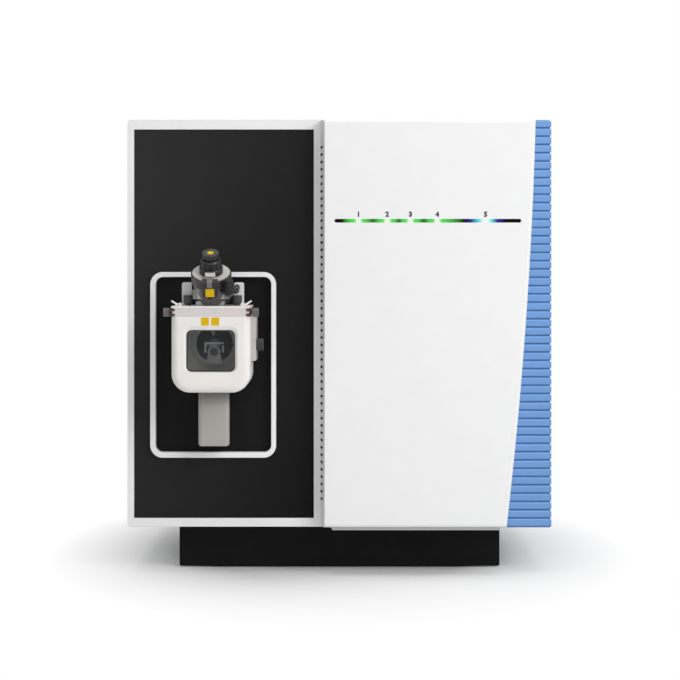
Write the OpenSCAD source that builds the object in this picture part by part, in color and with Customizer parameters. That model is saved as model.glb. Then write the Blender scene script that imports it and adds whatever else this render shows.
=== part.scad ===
// Bench-top triple-quadrupole mass spectrometer, built in millimetres.
// X runs to the right seen from the front, the front faces -Y, Z is up.
// The origin lies on the floor under the middle of the outline.

/* [Cabinet] */
// Overall width of the cabinet, mm
body_width = 710; // [696:2:724]
// Overall height from the floor to the top, mm
body_height = 758.5; // [748:0.5:772]
// Depth of the cabinet behind the front frame, mm
body_depth = 650; // [630:5:700]
// Height of the plinth with its feet, mm
plinth_height = 77; // [70:1:84]
// Width of the plinth, mm
plinth_width = 546; // [526:2:560]
// How far the plinth stands back from the front frame, mm
plinth_set_back = 65; // [55:1:80]

/* [Front] */
// Width of the white frame round the black panel, mm
front_width = 331; // [326:1:336]
// Number of ribs on the blue corner panel
rib_count = 49; // [35:1:56]
// Depth of the grooves between the ribs, mm
rib_depth = 2.4; // [1.4:0.2:3.4]
// How far the large right cover stands out in front, mm
cover_stand = 40; // [34:1:50]
// Number of vent slots in the side of that cover
slot_count = 49; // [30:1:54]
// How far the right edge of that cover sweeps in towards the bottom, mm
cover_sweep = 31; // [20:1:40]
// Height of the status light above the floor, mm
light_height = 588.6; // [540:1:640]

/* [Ion source] */
// Distance of the middle of the source from the left side, mm
source_inset = 148; // [144:1:151]
// Width of the source housing, mm
source_width = 127; // [121:1:130]
// How far the source housing stands out in front, mm
source_reach = 140; // [136:1:150]
// Lower edge of the source housing above the floor, mm
source_low = 309.5; // [304:0.5:314]
// Tilt of the probe towards the front, degrees
probe_tilt = 28; // [25:1:30]
// Diameter of the probe knob, mm
knob_diameter = 34.5; // [31:0.5:36]
// Length of the drain channel below the source, mm
drain_length = 92.5; // [72:0.5:97]

/* [Inside] */
// Diameter of the quadrupole rods, mm
rod_diameter = 14; // [10:1:16]
// Bend radius of the collision cell, mm
cell_radius = 80; // [76:1:84]
// Diameter of the turbo pump body, mm
pump_diameter = 160; // [140:5:170]
// Size of the rear fans, mm
fan_size = 120; // [100:5:125]

/* [Hidden] */
$fn = 64;

// Sheet, cabinet faces and the shift that puts the origin under the middle
t = 3;
hw = body_width / 2;
zb = plinth_height;
zt = body_height;
yr = body_depth;
frame_d = 12;
xin = hw - frame_d;
split = -hw + front_width;
rx0 = hw - 115;
rear_reach = 22;
lever_reach = 6;
oy = (source_reach + lever_reach - yr - rear_reach) / 2;

// Source and probe places
sx = -hw + source_inset;
sw = source_width / 2;
ax = source_low + 75;
band_z = source_low + 122.5;
lid_z = source_low + 136.8;
top_z = source_low + 139.5;
drain_low = source_low - drain_length;
probe_y = -source_reach + 68.2;
slide_gap = 0.3;
px = sx - 1.5;
seat_y = -22;
bx = sx - sw - 46;
bx1 = sx + sw + 39;
rz0 = source_low - 117.5;
rz1 = source_low + 195.1;
wx = sw - 24.2;
wz0 = ax - 41;
wz1 = ax + 26.2;
bz = zb + 14.6;

// Deck and vacuum housing
deck_z = ax - 84.5;
pz = zb + 43;
mz0 = deck_z + 3;
mz1 = ax + 65.5;
mw = 10;
leg = 83;
my0 = 30;
cy = yr - 213;
my1 = cy + leg;
mx1 = hw - 93;

module box(x0, x1, y0, y1, z0, z1) translate([x0, y0, z0]) cube([x1 - x0, y1 - y0, z1 - z0]);
module rrect(x0, x1, z0, z1, r) {
  translate([x0 + r, z0]) square([x1 - x0 - 2 * r, z1 - z0]);
  translate([x0, z0 + r]) square([x1 - x0, z1 - z0 - 2 * r]);
  for (x = [x0 + r, x1 - r], z = [z0 + r, z1 - r]) translate([x, z]) circle(r);
}
module face(y0, y1) translate([0, y1, 0]) rotate([90, 0, 0]) linear_extrude(y1 - y0) children();
module rod_x(x0, x1, y, z, d) translate([x0, y, z]) rotate([0, 90, 0]) cylinder(h = x1 - x0, d = d);
module rod_y(y0, y1, x, z, d) translate([x, y1, z]) rotate([90, 0, 0]) cylinder(h = y1 - y0, d = d);
module rod_z(z0, z1, x, y, d) translate([x, y, z0]) cylinder(h = z1 - z0, d = d);
module probe_axis() translate([px, probe_y, top_z]) rotate([probe_tilt, 0, 0]) children();
module knurled(h, d, n, r) difference() {
  cylinder(h = h, d = d);
  for (i = [0 : n - 1]) rotate(i * 360 / n) translate([d / 2 + r * 0.45, 0, -1]) cylinder(h = h + 2, r = r, $fn = 24);
}

// Cabinet ---------------------------------------------------------------
foot_x = plinth_width / 2 - 71;
foot_w = 113;
py1 = yr - 62;
module plinth() color([0.03, 0.03, 0.035]) difference() {
  face(plinth_set_back, py1) {
    rrect(-plinth_width / 2, plinth_width / 2, 2, zb - 10, 3.5);
    translate([-plinth_width / 2, 20]) square([plinth_width, zb - 20]);
  }
  box(-plinth_width / 2 + t, plinth_width / 2 - t, plinth_set_back + t, py1 - t, 10, zb + 1);
  for (s = [-1, 1], y = [plinth_set_back + 15, py1 - 75])
    box(s * foot_x - foot_w / 2, s * foot_x + foot_w / 2, y, y + 60, 0, 5);
}
module feet() color([0.06, 0.06, 0.06])
  for (s = [-1, 1], y = [plinth_set_back + 15, py1 - 75])
    box(s * foot_x - foot_w / 2, s * foot_x + foot_w / 2, y, y + 60, 0, 5);

fr = 6;
module corners() for (s = [-1, 1]) difference() {
  box(s * (hw - fr / 2 + 0.5) - fr / 2 - 0.5, s * (hw - fr / 2 + 0.5) + fr / 2 + 0.5, -1, yr + 1, zt - fr, zt + 1);
  rod_y(-2, yr + 2, s * (hw - fr), zt - fr, 2 * fr);
}
post = 20;
module chassis() color([0.62, 0.64, 0.66]) {
  box(-hw + t, xin, frame_d, yr - t, zb, zb + t);
  for (x = [-hw + t, xin - post], y = [frame_d, yr - t - post])
    box(x, x + post, y, y + post, zb + t - 1, zt - t);
  for (y = [frame_d, yr - t - post]) box(-hw + t, xin, y, y + post, zt - t - post, zt - t);
  for (x = [-hw + t, xin - post]) box(x, x + post, frame_d, yr - t, zt - t - post, zt - t);
  box(split, rx0, frame_d - 9, frame_d, zb, zt - t);
  box(split, xin, frame_d - 6, frame_d + 2, zb, zt - t);
}
module deck() color([0.68, 0.7, 0.72]) difference() {
  box(-hw + t, xin, frame_d + post, yr - t - post, deck_z, deck_z + 3);
  rod_z(deck_z - 1, deck_z + 4, sx, cy, pump_diameter - 20);
  for (x = [hw - 315, hw - 205]) box(x, x + 60, 60, 240, deck_z - 1, deck_z + 4);
}
module top_cover() color([0.93, 0.93, 0.93]) difference() {
  box(-hw, hw, frame_d, yr, zt - t, zt);
  for (i = [0 : 17]) box(-hw + 95 + i * 16, -hw + 103 + i * 16, yr - 130, yr - 60, zt - t - 1, zt + 1);
  corners();
}
module left_cover() color([0.93, 0.93, 0.93]) difference() {
  box(-hw, -hw + t, frame_d, yr, zb, zt - t);
  for (i = [0 : 15]) box(-hw - 1, -hw + t + 1, yr - 210, yr - 110, zb + 73 + i * 14, zb + 79 + i * 14);
  corners();
}

fan_z = zt - 198.5;
fan_x = [-1.25 * fan_size, 1.25 * fan_size];
inlet_x = hw - 140;
iz = zb + 69;
module rear_panel() color([0.8, 0.81, 0.82]) difference() {
  union() {
    box(-hw + t, xin, yr - t, yr, zb, zt - t);
  }
  for (x = fan_x) {
    for (k = [0 : 3]) difference() {
      rod_y(yr - t - 1, yr + 1, x, fan_z, fan_size * (0.4 + k * 0.18) - 4);
      rod_y(yr - t - 2, yr + 2, x, fan_z, fan_size * (0.4 + k * 0.18) - 17);
      box(x - 2, x + 2, yr - 10, yr + 10, fan_z - 80, fan_z + 80);
      box(x - 80, x + 80, yr - 10, yr + 10, fan_z - 2, fan_z + 2);
    }
  }
  box(inlet_x - 16, inlet_x + 16, yr - t - 1, yr + 1, iz - 15, iz + 15);
  for (x = [inlet_x - 40, inlet_x - 80]) box(x - 10, x + 10, yr - t - 1, yr + 1, iz - 13, iz + 13);
  rod_y(yr - t - 1, yr + 1, sx, pz + 30, 40.4);
  for (i = [0 : 11]) box(-120 + i * 20, -110 + i * 20, yr - t - 1, yr + 1, zb + 253, zb + 353);
}

// One rib: a groove at its foot, a flat face and a sloped shoulder on top
rib = (zt - zb) / rib_count;
rz = zb - 1.5;
function ribs(o, s) = [for (i = [0 : rib_count - 1])
  let (z = (i == 0 ? rz : zb + i * rib), y = zb + (i + 1) * rib)
  each [[o - s * rib_depth, z], [o - s * rib_depth, z + rib * 0.05], [o - s * rib_depth * 0.3, z + rib * 0.12],
    [o, z + rib * 0.24], [o, y - rib * 0.2], [o - s * rib_depth * 0.3, y - rib * 0.08], [o - s * rib_depth, y]]];
module ribbed_panel() color([0.36, 0.58, 0.86]) difference() {
  intersection() {
    translate([rx0, 0, 0]) rotate([90, 0, 90]) linear_extrude(hw - rx0 + 10)
      polygon(concat(ribs(0, -1), [[yr + 10, zt], [yr + 10, rz]]));
    translate([0, yr, 0]) rotate([90, 0, 0]) linear_extrude(yr + 10)
      polygon(concat(ribs(hw, 1), [[rx0, zt], [rx0, rz]]));
  }
  box(rx0 - 40, xin, frame_d - 6, yr + 5, rz - 1, zt + 1);
  box(xin - 1, hw + 1, frame_d, yr + 5, zt - t, zt + 1);
  corners();
}

module front_frame() color([0.95, 0.95, 0.95]) difference() {
  face(0, frame_d) {
    rrect(-hw, -hw + 40, zb, zt, fr);
    translate([-hw + 20, zb]) square([front_width - 20, zt - zb]);
  }
  box(-hw + 11, split - 19, -1, frame_d + 1, bz, zt - 16.2);
}
module black_panel() color([0.1, 0.1, 0.105]) difference() {
  box(-hw + 11, split - 19, 2, 6, bz, zt - 16.2);
  face(1, 7) bay(2.5, 15);
}

// Right cover, with a swept right edge and a slanted, slotted left wall
cz0 = zb + 3.5;
cz1 = zt - 2;
cx0 = split - 8.6;
cr = hw - 29.6;
cf = 6;
function edge(k, q) = let (s = k / 16) [cr - 17.2 * s - cover_sweep * s * s - q, cz1 - (cz1 - cz0) * s];
module cover_shape(q, lean) polygon(concat([[cx0 + lean + q / 4, cz0 + q], [cx0 + lean + q / 4, cz1 - q]],
  [for (k = [0 : 16]) [edge(k, q)[0], min(max(edge(k, q)[1], cz0 + q), cz1 - q)]]));
lean = cover_stand * 0.176;
slot = (cz1 - cz0 - 78) / slot_count;
module right_cover() color([0.94, 0.94, 0.94]) difference() {
  union() {
    hull() {
      face(-0.01, 0) cover_shape(0, 0);
      for (a = [0 : 18 : 90]) face(-cover_stand + cf - cf * sin(a), -cover_stand + cf - cf * sin(a) + 0.01)
        cover_shape(cf * (1 - cos(a)), lean * (cover_stand - cf + cf * sin(a)) / cover_stand);
    }
    box(split + 12, cr - 59, -cover_stand + 7, -10, zb - 1.5, cz0 + 1);
    rod_y(-cover_stand + 7, -10, split + 12, cz0 - 0.01, 5);
  }
  hull() {
    face(0.9, 1) cover_shape(t, 0);
    face(-cover_stand + t, -cover_stand + t + 0.1) cover_shape(t + 3, lean);
    face(-cover_stand + t + 3, -cover_stand + t + 3.1) cover_shape(t, lean);
  }
  for (i = [0 : slot_count - 1])
    box(cx0 - 5, cx0 + 12, -cover_stand + 14, -3, zb + 46.5 + i * slot, zb + 51 + i * slot);
  face(-cover_stand - 1, -cover_stand + t + 1)
    rrect(split + 15.8, cr - 24.4, light_height - 3.1, light_height + 3.1, 3.09);
}
module light_bar() color([0.05, 0.05, 0.06]) {
  face(-cover_stand + 0.4, -cover_stand + t)
    rrect(split + 16, cr - 24.6, light_height - 2.9, light_height + 2.9, 2.89);
  box(split + 12, cr - 21.4, -cover_stand + t, -cover_stand + t + 6, light_height - 12, light_height + 12);
}

// Source bay ------------------------------------------------------------
module bay(q, r) rrect(bx + 9 - q, bx1 - 9.6 + q, rz0 + 10.4 - q, rz1 - 9.3 + q, r);
module trim_ring() color([0.95, 0.95, 0.95]) {
  difference() {
    face(-6, 2) rrect(bx, bx1 - 1.5, rz0 + 1, rz1 - 1, 21);
    face(-7, 3) bay(0, 12);
  }
  difference() {
    face(1, 10) bay(2.5, 15);
    face(0, 11) bay(0, 12);
  }
}
module back_plate() color([0.07, 0.07, 0.075]) difference() {
  face(10, 14) rrect(bx + 3, bx1 - 4.5, rz0 + 3, rz1 - 4.6, 16);
  rod_y(9, 15, sx, ax, 86);
  box(sx - 16, sx + 16, 9, 15, drain_low + 6, drain_low + 60);
}
module interface_block() color([0.5, 0.5, 0.52]) difference() {
  union() {
    face(seat_y, 10) rrect(sx - sw + 11.5, sx + sw - 11.5, ax - 54.5, ax + 53.5, 10);
    rod_y(seat_y - 12, 0, sx, ax, 78);
    rod_y(0, my0, sx, ax, 86);
  }
  rod_y(seat_y - 20, my0 + 1, sx, ax, 14);
}
module inlet_cone() color([0.55, 0.55, 0.57]) {
  difference() {
    translate([sx, seat_y - 12, ax]) rotate([90, 0, 0]) rotate_extrude()
      polygon([[7.1, 0], [30, 0], [30, 3], [11, 8], [4, 12], [1, 12], [1, 8]]);
  }
  for (s = [-1, 1]) box(sx + s * 14.5 - 1.5, sx + s * 14.5 + 1.5, seat_y - 24, seat_y - 14, ax - 14, ax);
  box(sx - 16, sx + 16, seat_y - 24, seat_y - 21, ax, ax + 3);
  for (s = [-1, 1]) box(sx + s * 14.5 - 1.5, sx + s * 14.5 + 1.5, seat_y - 24, seat_y - 14, ax - 1, ax + 3);
  face(seat_y - 24, seat_y - 21) for (s = [-1, 1]) translate([sx, ax])
    polygon([[s * 13.6, 0.6], [s * 13.6, -4.5], [s * 8, 0.6]]);
  translate([0, 0, ax - 12.5]) difference() {
    union() {
      face(seat_y - 24, seat_y - 12.6) translate([sx, 0]) {
        circle(10.4);
        polygon([[-9.4, 0], [9.4, 0], [13.8, -20.5], [-13.8, -20.5]]);
      }
      rod_y(seat_y - 25.4, seat_y - 23, sx, 0, 19);
    }
    rod_y(seat_y - 27, seat_y - 22.4, sx, 0, 14.4);
  }
}
module transfer_tube() color([0.7, 0.7, 0.72]) difference() {
  rod_y(seat_y - 12, my0 + 22, sx, ax, 14);
  rod_y(seat_y - 13, my0 + 23, sx, ax, 2);
}
dw = 25.7;
taper = 4.2;
dy = -source_reach + 81;
module plan(q) {
  translate([sx - dw + 7, dy + 7]) circle(7 - q);
  translate([sx + dw - 7, dy + 7]) circle(7 - q);
  translate([sx - dw + 7, dy + q]) square([2 * dw - 14, 20]);
  translate([sx, 0]) polygon([[q - dw, dy + 7], [dw - q, dy + 7], [dw - q - taper, 10 + q], [q - dw + taper, 10 + q]]);
}
module drain_channel() color([0.66, 0.64, 0.62]) difference() {
  intersection() {
    translate([0, 0, drain_low]) linear_extrude(source_low - drain_low - slide_gap) plan(0);
    face(dy - 1, 10) {
      rrect(sx - dw, sx + dw, drain_low, source_low - 10, 5);
      translate([sx - dw, drain_low + 20]) square([2 * dw, source_low - drain_low]);
    }
  }
  translate([0, 0, drain_low + 3]) linear_extrude(source_low - drain_low) plan(2.5);
}

// Source housing and its fittings ---------------------------------------
hr = 30;
module outline(q) {
  for (s = [-1, 1]) translate([sx + s * (sw - hr), source_low + hr]) circle(hr - q);
  translate([sx - sw + q, source_low + hr]) square([2 * sw - 2 * q, band_z - source_low - hr]);
  translate([sx - sw + hr, source_low + q]) square([2 * sw - 2 * hr, 20]);
}
module source_housing() color([0.92, 0.9, 0.88]) difference() {
  hull() {
    face(-source_reach + 12, seat_y - slide_gap) outline(0);
    for (a = [15 : 15 : 90])
      face(-source_reach + 12 - 12 * sin(a), -source_reach + 12.02 - 12 * sin(a)) outline(12 * (1 - cos(a)));
  }
  difference() {
    face(-source_reach + 10, seat_y - 8) {
      rrect(sx - sw + 10, sx + sw - 10, source_low + 10, band_z - 10, 18);
      translate([sx - sw + 10, band_z - 60]) square([2 * sw - 20, 70]);
    }
    box(sx - 16.5, sx + 16.5, dy + 4, seat_y - 12, source_low, source_low + 30);
  }
  rod_y(seat_y - 9, seat_y + 1, sx, ax, 80);
  box(sx - 14.5, sx + 14.5, dy + 6, seat_y - 14, source_low - 1, source_low + 31);
  face(-source_reach - 1, -source_reach + 11) rrect(sx - wx, sx + wx, wz0, wz1, 9);
  hull() {
    face(-source_reach - 0.3, -source_reach - 0.2) rrect(sx - wx - 4.3, sx + wx + 4.3, wz0 - 0.9, wz1 + 6.3, 12);
    face(-source_reach + 3, -source_reach + 3.1) rrect(sx - wx, sx + wx, wz0, wz1, 9);
  }
  rod_x(sx + sw - 12, sx + sw + 1, needle_y, ax, 6.2);
}
module window_gasket() color([0.05, 0.05, 0.05]) difference() {
  face(-source_reach + 3.2, -source_reach + 9) rrect(sx - wx, sx + wx, wz0, wz1, 9);
  face(-source_reach + 3, -source_reach + 10) rrect(sx - wx + 2, sx + wx - 2, wz0 + 2, wz1 - 2, 7);
}
module source_window() color([0.25, 0.27, 0.29]) face(-source_reach + 3.4, -source_reach + 8)
  rrect(sx - wx + 2, sx + wx - 2, wz0 + 2, wz1 - 2, 7);
side_y = -source_reach + 13;
side_z = source_low + 129.5;
module source_band() color([0.8, 0.78, 0.8]) difference() {
  box(sx - sw + 2, sx + sw - 2, -source_reach + 0.5, seat_y - slide_gap, band_z, lid_z);
  box(sx - sw + 10, sx + sw - 10, -source_reach + 10, seat_y - 8, band_z - 1, lid_z + 1);
  for (s = [-1, 1]) rod_x(sx + s * (sw - 6) - 5, sx + s * (sw - 6) + 5, side_y, side_z, 6.1);
}
module source_lid() color([0.94, 0.93, 0.92]) {
  difference() {
    box(sx - sw, sx + sw, -source_reach, seat_y - slide_gap, lid_z, top_z);
    probe_axis() translate([0, 0, -30]) cylinder(h = 60, d = 30);
  }
  for (s = [-1, 1]) {
    box(sx + s * (sw - 13) - 2, sx + s * (sw - 13) + 2, lever_y - 4, lever_y + 4, top_z - 0.5, top_z + 5);
    rod_x(sx + s * (sw - 8.9) - 4, sx + s * (sw - 8.9) + 4, lever_y, top_z + 2.3, 2);
  }
}
module casting() {
  box(px - 25, px + 22, probe_y - 30, probe_y + 22, top_z, top_z + 7.5);
  box(px - 20, px + 20, probe_y - 12, probe_y + 20, top_z + 7, top_z + 12);
  translate([px, probe_y - 5, top_z + 10.5]) linear_extrude(15.5) {
    square([62, 38], center = true);
    square([44, 58], center = true);
    for (x = [-21, 21], y = [-19, 19]) translate([x, y]) circle(10);
  }
}
module probe_port() color([0.74, 0.74, 0.76]) difference() {
  union() {
    casting();
    probe_axis() difference() {
      translate([0, 0, 12]) cylinder(h = 33.3, d = 58);
      translate([-40, -40, -60]) cube([80, 80, 60]);
    }
  }
  box(sx - 50, sx + 50, probe_y - 80, probe_y + 80, top_z - 60, top_z);
  probe_axis() translate([0, 0, -40]) cylinder(h = 100, d = 24.6);
}
module ring_body() color([0.22, 0.22, 0.23]) probe_axis() difference() {
  translate([0, 0, 45.3]) cylinder(h = 14.7, d = 66);
  translate([0, 0, 40]) cylinder(h = 30, d = 24.6);
}
module locking_ring() color([0.78, 0.78, 0.8]) probe_axis() {
  difference() {
    translate([0, 0, 60.3]) cylinder(h = 1.7, d = 61);
    translate([0, 0, 60]) cylinder(h = 3, d = 24.8);
  }
  intersection() {
    translate([-10, 0, 0]) rotate([90, 0, 90]) linear_extrude(20) polygon([[-23.2, 61.9], [-23.2, 73.4],
      [-25.5, 73.4], [-30, 70], [-47.5, 68.6], [-48.8, 67.4], [-48.8, 58.6], [-46.8, 58.6], [-46.8, 66.6],
      [-32, 66.6], [-29.5, 61.9]]);
    translate([0, 0, 50]) linear_extrude(30) {
      polygon([[-8.2, -22], [8.2, -22], [8.2, -27], [6.4, -30], [-6.4, -30], [-8.2, -27]]);
      polygon([[-6.2, -29], [6.2, -29], [3.8, -50], [-3.8, -50]]);
    }
  }
}
module interlock() color([0.05, 0.05, 0.05]) probe_axis() difference() {
  translate([0, -31, 0]) rotate([90, 0, 0]) linear_extrude(13.4) {
    translate([-12.5, 43.5]) square([25, 22.7]);
    translate([-7.5, 38.5]) square([15, 10]);
    for (x = [-7.5, 7.5]) translate([x, 43.5]) circle(5);
    translate([-3, 35.5]) square([6, 6]);
  }
  translate([0, 0, 20]) cylinder(h = 50, d = 66);
}
module nebulizer() color([0.7, 0.7, 0.72]) probe_axis() {
  translate([0, 0, -12]) cylinder(h = 74.2, d = 24);
  translate([0, 0, -42]) cylinder(h = 31, d = 9);
  translate([0, 0, -58]) cylinder(h = 16.5, d1 = 2.5, d2 = 9);
}
module probe_knob() color([0.12, 0.12, 0.125]) probe_axis() {
  translate([0, 0, 62.4]) cylinder(h = 8.6, d = knob_diameter + 4);
  translate([0, 0, 70.9]) cylinder(h = 1.6, d1 = knob_diameter + 4, d2 = knob_diameter + 1);
  translate([0, 0, 72.4]) knurled(11.7, knob_diameter, 12, 3.4);
  translate([0, 0, 84]) cylinder(h = 3, d1 = knob_diameter, d2 = knob_diameter - 4);
  translate([0, 0, 86.9]) cylinder(h = 3.1, d = knob_diameter - 12);
}
module probe_cap() color([0.25, 0.25, 0.26]) probe_axis() difference() {
  translate([0, 0, 90]) cylinder(h = 7.6, d = 27);
  translate([0, 0, 97.1]) cylinder(h = 1, d = 11);
  translate([0, 0, 94]) cylinder(h = 5, d = 2);
}
module adjust_knob() color([0.06, 0.06, 0.065]) probe_axis() translate([31, -33, 42]) {
  knurled(20, 14.4, 16, 1.2);
  translate([0, 0, 19.5]) cylinder(h = 4, d = 12);
  translate([0, 0, -6]) cylinder(h = 7, d = 5);
}
module gas_elbow() color([0.3, 0.3, 0.31]) difference() {
  probe_axis() difference() {
    union() {
      rotate(-46.8) translate([24, -5.5, 37]) cube([26.5, 11, 4.6]);
      rotate(-30.5) translate([24, -4, 37]) cube([27, 8, 4.6]);
      translate([42.5, -25, 41]) cylinder(h = 5, d = 6);
      translate([42.5, -21, 46]) rotate([90, 0, 0]) cylinder(h = 7.5, d = 9.4);
    }
    translate([0, 0, 30]) cylinder(h = 20, d = 58);
    translate([31, -33, 30]) cylinder(h = 20, d = 5.1);
    translate([42.5, -26, 46]) rotate([90, 0, 0]) cylinder(h = 4, d = 4.6);
  }
  casting();
}
module upright_plates() color([0.8, 0.8, 0.81])
  for (s = [-1, 1]) difference() {
    face(probe_y - 7, probe_y + 1) translate([sx + s * 42.7, 0]) {
      rrect(-8, 8, top_z + 10, top_z + 38, 3.5);
      translate([-8, top_z]) square([16, 20]);
    }
  }
module catch_blocks() color([0.18, 0.18, 0.19])
  for (s = [-1, 1]) translate([sx + s * 40.2, probe_y - 15, top_z]) {
    cylinder(h = 5, d = 9);
    translate([0, 0, 2.2]) cylinder(h = 2.4, d1 = 10, d2 = 14.5);
    translate([0, 0, 4.5]) knurled(12.5, 15, 16, 1.1);
  }
module hooks() color([0.3, 0.2, 0.16]) for (s = [-1, 1]) translate([sx, 0, 0]) difference() {
  mirror([s < 0 ? 1 : 0, 0, 0]) {
    box(sw - 2, sw + 1.8, side_y - 6, side_y + 6, side_z - 6.3, side_z + 6.3);
    for (z = [-4, 4]) {
      box(sw - 2, sw + 1.8, -source_reach - 0.9, side_y, side_z + z - 2, side_z + z + 2);
      box(sw - 6, sw + 1.8, -source_reach - 0.9, -source_reach + 0.5, side_z + z - 2, side_z + z + 2);
    }
  }
  rod_x(s * sw - 3, s * sw + 3, side_y, side_z, 6.1);
}
module side_knob(s) color([0.4, 0.4, 0.41]) translate([sx + s * (sw + 3), side_y, side_z])
  rotate([0, s * 90, 0]) {
    translate([0, 0, 0.5]) knurled(9.8, 14.2, 18, 1.2);
    translate([0, 0, -11]) cylinder(h = 12, d = 6);
  }
module side_knob_left() side_knob(-1);
module side_knob_right() side_knob(1);
lever_y = -source_reach + 23;
module lever(s) color([0.93, 0.93, 0.93]) translate([sx + s * (sw - 10.5), lever_y, top_z + 2.3]) difference() {
  union() {
    rotate([0, s * 90, 0]) cylinder(h = 5, d = 3.8);
    translate([s * 2.8, 0, 0]) rotate([0, s * 56, 0]) cylinder(h = 11, d = 3);
  }
  rotate([0, s * 90, 0]) translate([0, 0, -1]) cylinder(h = 6.8, d = 2.1);
}
module lever_left() lever(-1);
module lever_right() lever(1);
needle_y = -source_reach / 2;
nb0 = needle_y - 30;
nb1 = needle_y + 40;
module needle_block() color([0.8, 0.78, 0.8]) difference() {
  box(sx + sw, sx + sw + 7.4, nb0, nb1, ax - 25, ax + 45.4);
  box(sx + sw + 6.6, sx + sw + 8, nb0 - 1, nb1 + 1, ax + 7.3, ax + 8.2);
  box(sx + sw - 1, sx + sw + 8, nb0 - 1, nb0 + 0.8, ax + 7.3, ax + 8.2);
  rod_x(sx + sw - 1, sx + sw + 8, needle_y, ax, 6.1);
}
module corona_needle() color([0.36, 0.36, 0.37]) {
  translate([sx + sw + 7.7, needle_y, ax]) rotate([0, 90, 0]) knurled(11, 20.4, 22, 1.5);
  rod_x(sx + sw - 14, sx + sw + 8, needle_y, ax, 6);
  rod_x(sx + 12, sx + sw - 13, needle_y, ax, 2);
}

// Vacuum housing and ion optics -----------------------------------------
module ell(q, z0, z1) {
  box(sx - leg + q, sx + leg - q, my0 + q, my1 - q, z0, z1);
  box(sx - leg + q, mx1 - q, cy - leg + q, my1 - q, z0, z1);
}
module manifold() color([0.72, 0.73, 0.74]) difference() {
  ell(0, mz0, mz1);
  ell(mw, mz0 + mw, mz1 + 1);
  rod_y(my0 - 1, my0 + mw + 1, sx, ax, 14.2);
  rod_z(mz0 - 1, mz0 + mw + 1, sx, cy, pump_diameter - 20);
}
module manifold_lid() color([0.66, 0.67, 0.68]) ell(0, mz1, mz1 + 10);
module ion_guide() color([0.75, 0.72, 0.6]) difference() {
  union() {
    for (i = [0 : 8]) rod_y(my0 + 26 + i * 9, my0 + 30 + i * 9, sx, ax, 46);
    for (s = [-1, 1]) rod_y(my0 + 24, my0 + 104, sx + s * 17, ax, 5);
    box(sx - 12, sx + 12, my0 + 26, my0 + 102, mz0 + mw, ax - 18);
  }
  rod_y(my0, my0 + 120, sx, ax, 12);
}
q1a = my0 + 122;
q1b = cy - cell_radius - 14;
q3a = sx + cell_radius + 14;
q3b = mx1 - 110;
ro = rod_diameter * 0.78;
module rods_first() color([0.8, 0.8, 0.82])
  for (a = [45 : 90 : 315]) rod_y(q1a, q1b, sx + cos(a) * ro * 1.42, ax + sin(a) * ro * 1.42, rod_diameter);
module rods_third() color([0.8, 0.8, 0.82])
  for (a = [45 : 90 : 315]) rod_x(q3a, q3b, cy + cos(a) * ro * 1.42, ax + sin(a) * ro * 1.42, rod_diameter);
module holder() difference() {
  union() {
    translate([0, 0, 0]) rotate([90, 0, 0]) translate([0, 0, -4]) cylinder(h = 8, d = 60);
    box(-30, 30, -4, 4, mz0 + mw - ax, 0);
  }
  for (a = [45 : 90 : 315]) rod_y(-5, 5, cos(a) * ro * 1.42, sin(a) * ro * 1.42, rod_diameter);
  rod_y(-5, 5, 0, 0, 12);
}
module rod_holders() color([0.92, 0.9, 0.84]) {
  for (y = [q1a + 16, q1b - 16]) translate([sx, y, ax]) holder();
  for (x = [q3a + 16, q3b - 16]) translate([x, cy, ax]) rotate([0, 0, 90]) holder();
}
module end_plate() translate([cell_radius - 24, -6.5, mz0 + mw]) cube([48, 7, ax + 26 - mz0 - mw]);
module collision_cell() color([0.6, 0.6, 0.62]) translate([sx + cell_radius, cy - cell_radius, 0]) {
  difference() {
    union() {
      translate([0, 0, ax - 24]) rotate_extrude(angle = 90, start = 90)
        translate([cell_radius - 22, 0]) square([44, 48]);
      for (a = [90, 180]) rotate([0, 0, a]) mirror([0, a == 90 ? 1 : 0, 0]) end_plate();
    }
    translate([0, 0, ax - 12]) rotate_extrude(angle = 90, start = 90)
      translate([cell_radius - 12, 0]) square([24, 24]);
    rod_y(-8, 0.5, -cell_radius, ax, 20);
    rod_x(-0.5, 8, cell_radius, ax, 20);
  }
}
module detector() color([0.5, 0.5, 0.55]) {
  rod_x(q3b + 8, q3b + 60, cy, ax, 50);
  box(q3b + 20, q3b + 50, cy - 15, cy + 15, mz0 + mw, ax - 10);
  rod_x(q3b + 59, mx1 - mw, cy, ax, 16);
}
module turbo_body() color([0.7, 0.71, 0.73]) difference() {
  union() {
    rod_z(deck_z - 12, deck_z, sx, cy, pump_diameter + 20);
    rod_z(pz, deck_z - 11, sx, cy, pump_diameter);
    rod_z(zb + t, pz + 1, sx, cy, pump_diameter - 40);
    difference() {
      for (i = [0 : 3]) rod_z(pz + 20 + i * 10, pz + 24 + i * 10, sx, cy, pump_diameter + 8);
      rod_y(cy + 20, cy + 120, sx, pz + 30, 31);
    }
  }
  rod_z(pz + 12, deck_z + 1, sx, cy, pump_diameter - 20);
  rod_z(pz - 12, pz + 13, sx, cy, 16.1);
  rod_y(cy, cy + 100, sx, pz + 30, 26);
}
module turbo_rotor() color([0.78, 0.78, 0.8]) translate([sx, cy, 0]) {
  rod_z(pz - 10, pz + 20, 0, 0, 16);
  rod_z(pz + 19, deck_z - 12, 0, 0, 50);
  for (i = [0 : 4], a = [0 : 24 : 359]) translate([0, 0, pz + 40 + i * 24]) rotate([0, 0, a + i * 8])
    translate([22, 0, 0]) rotate([(i % 2 == 0 ? 30 : -30), 0, 0])
      translate([0, -4, -0.75]) cube([pump_diameter / 2 - 10 - 3 - 22, 8, 1.5]);
}
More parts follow.
